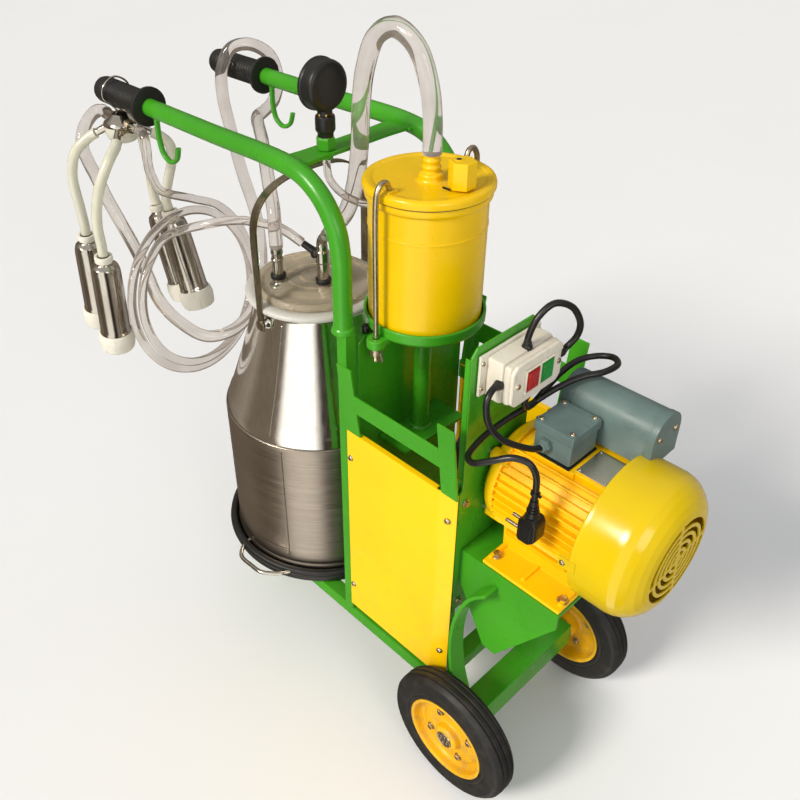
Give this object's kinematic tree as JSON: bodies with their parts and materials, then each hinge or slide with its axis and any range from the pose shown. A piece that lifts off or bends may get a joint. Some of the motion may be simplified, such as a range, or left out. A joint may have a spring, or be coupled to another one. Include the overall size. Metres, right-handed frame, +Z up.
{
  "type": "bucket milking machine",
  "caption": "Trolley-mounted bucket milking machine: motor and vacuum pump, vacuum tank, steel bucket, hoses, claw and teat cups on a wheeled frame.",
  "frame": {"origin": "middle of the footprint on the floor", "axes": "+X to the motor and wheels, -X to the handle grips, +Y along the axle to the far wheel, +Z up"},
  "size_m": [1.0243, 0.3959, 1.0049],
  "materials": {
    "frame_green": "gloss enamel",
    "panel_yellow": "gloss enamel",
    "tank_yellow": "gloss enamel",
    "rim_yellow": "satin enamel",
    "motor_yellow": "satin enamel",
    "box_grey": "satin moulded",
    "switch_cream": "satin moulded",
    "stop_red": "gloss moulded",
    "start_green": "gloss moulded",
    "black_rubber": "satin",
    "tyre": "satin with light dust",
    "liner_rubber": "soft satin",
    "clear_hose": "smooth, clouded",
    "lid_clear": "smooth, clouded",
    "bucket_steel": "polished cone, brushed wall",
    "zinc_steel": "zinc plated",
    "dark_iron": "dark enamel",
    "brass": "machined"
  },
  "bodies": {
    "frame": {"chassis_frame": "frame_green", "stand_leg": "frame_green", "handle_frame": "frame_green", "rear_wall": "frame_green", "front_wall": "frame_green", "motor_platform": "frame_green", "near_h_bracket": "frame_green", "far_h_bracket": "frame_green", "tank_support": "frame_green", "axle": "zinc_steel", "near_grip": "black_rubber", "near_side_panel": "panel_yellow", "far_grip": "black_rubber", "far_side_panel": "panel_yellow", "tank_body": "tank_yellow", "tank_lid": "tank_yellow", "vacuum_regulator": "tank_yellow", "bucket_tray": "black_rubber", "bucket_body": "bucket_steel", "bucket_gasket": "liner_rubber", "bucket_lid": "lid_clear", "milk_spout": "bucket_steel", "vacuum_tee": "bucket_steel", "milk_claw": "bucket_steel", "motor_stator": "motor_yellow", "drive_end_bell": "motor_yellow", "fan_cowl": "motor_yellow", "terminal_box": "box_grey", "capacitor_box": "box_grey", "vacuum_pump": "dark_iron", "switch_box": "switch_cream", "gauge_body": "dark_iron", "teat_cup_1": "bucket_steel", "cup_tube_1": "liner_rubber", "teat_cup_2": "bucket_steel", "cup_tube_2": "liner_rubber", "teat_cup_3": "bucket_steel", "cup_tube_3": "liner_rubber", "teat_cup_4": "bucket_steel", "cup_tube_4": "liner_rubber", "milk_hose": "clear_hose", "pulse_hose": "clear_hose", "vacuum_hose": "clear_hose", "gauge_hose": "clear_hose", "power_cable": "black_rubber", "power_plug": "black_rubber", "motor_cable": "black_rubber", "switch_cable": "black_rubber"},
    "near_wheel": {"near_wheel_rim": "rim_yellow", "near_tyre": "tyre"},
    "far_wheel": {"far_wheel_rim": "rim_yellow", "far_tyre": "tyre"},
    "drive_line": {"motor_rotor": "zinc_steel", "pump_rotor": "zinc_steel"},
    "stop_button": {"red_stop_button": "stop_red"},
    "start_button": {"green_start_button": "start_green"},
    "near_clamp": {"near_clamp_rod": "zinc_steel"},
    "far_clamp": {"far_clamp_rod": "zinc_steel"},
    "bail": {"bucket_bail": "bucket_steel"},
    "needle": {"gauge_needle": "stop_red"}
  },
  "joints": [
    {"name": "near_wheel_spin", "type": "hinge", "parent": "frame", "child": "near_wheel", "pos_m": [0.3262, -0.11, 0.1], "axis": [0, 1, 0], "continuous": true},
    {"name": "far_wheel_spin", "type": "hinge", "parent": "frame", "child": "far_wheel", "pos_m": [0.3262, 0.17, 0.1], "axis": [0, 1, 0], "continuous": true},
    {"name": "shaft_spin", "type": "hinge", "parent": "frame", "child": "drive_line", "pos_m": [0.3682, 0.03, 0.493], "axis": [1, 0, 0], "continuous": true},
    {"name": "stop_press", "type": "slide", "parent": "frame", "child": "stop_button", "axis": [-1, 0, 0], "range_m": [0, 0.003], "stiffness_N_per_m": 400},
    {"name": "start_press", "type": "slide", "parent": "frame", "child": "start_button", "axis": [-1, 0, 0], "range_m": [0, 0.003], "stiffness_N_per_m": 400},
    {"name": "near_clamp_swing", "type": "hinge", "parent": "frame", "child": "near_clamp", "pos_m": [0.1182, -0.058, 0.648], "axis": [0, 0, 1], "range_deg": [0, 100]},
    {"name": "far_clamp_swing", "type": "hinge", "parent": "frame", "child": "far_clamp", "pos_m": [0.1182, 0.118, 0.648], "axis": [0, 0, -1], "range_deg": [0, 100]},
    {"name": "bail_swing", "type": "hinge", "parent": "frame", "child": "bail", "pos_m": [-0.1028, 0.03, 0.578], "axis": [0, 1, 0], "range_deg": [-4, 20]},
    {"name": "needle_turn", "type": "hinge", "parent": "frame", "child": "needle", "pos_m": [-0.0188, -0.01, 0.925], "axis": [1, 0, 0], "range_deg": [0, 270], "stiffness_Nm_per_rad": 0.002}
  ]
}
